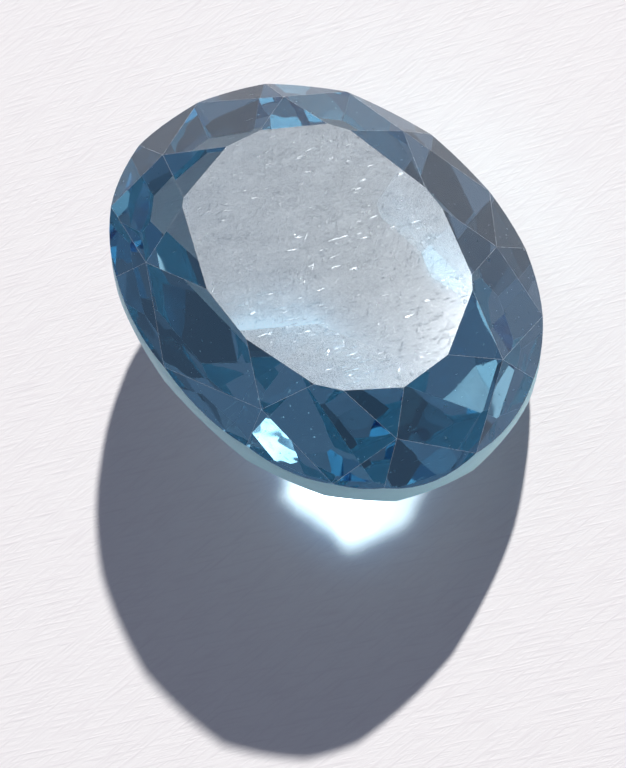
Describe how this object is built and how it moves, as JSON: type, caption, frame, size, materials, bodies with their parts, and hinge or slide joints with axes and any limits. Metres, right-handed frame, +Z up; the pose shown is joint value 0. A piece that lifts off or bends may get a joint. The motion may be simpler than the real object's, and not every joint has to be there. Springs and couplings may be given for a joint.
{
  "type": "faceted oval topaz gemstone",
  "caption": "Loose blue topaz cut as a faceted oval, with a flat table, a frosted girdle and a pointed pavilion, lying on one lower facet.",
  "frame": {"origin": "on the surface the stone lies on, under the middle of its bounding box", "axes": "+Z up, +X along the oval's length, -Y on the side where the stone leans lowest, so the table faces up and towards -Y"},
  "size_m": [0.011, 0.0078, 0.0059],
  "materials": {
    "topaz": "polished facets, frosted girdle"
  },
  "bodies": {
    "root": {"topaz": "topaz"}
  },
  "joints": []
}
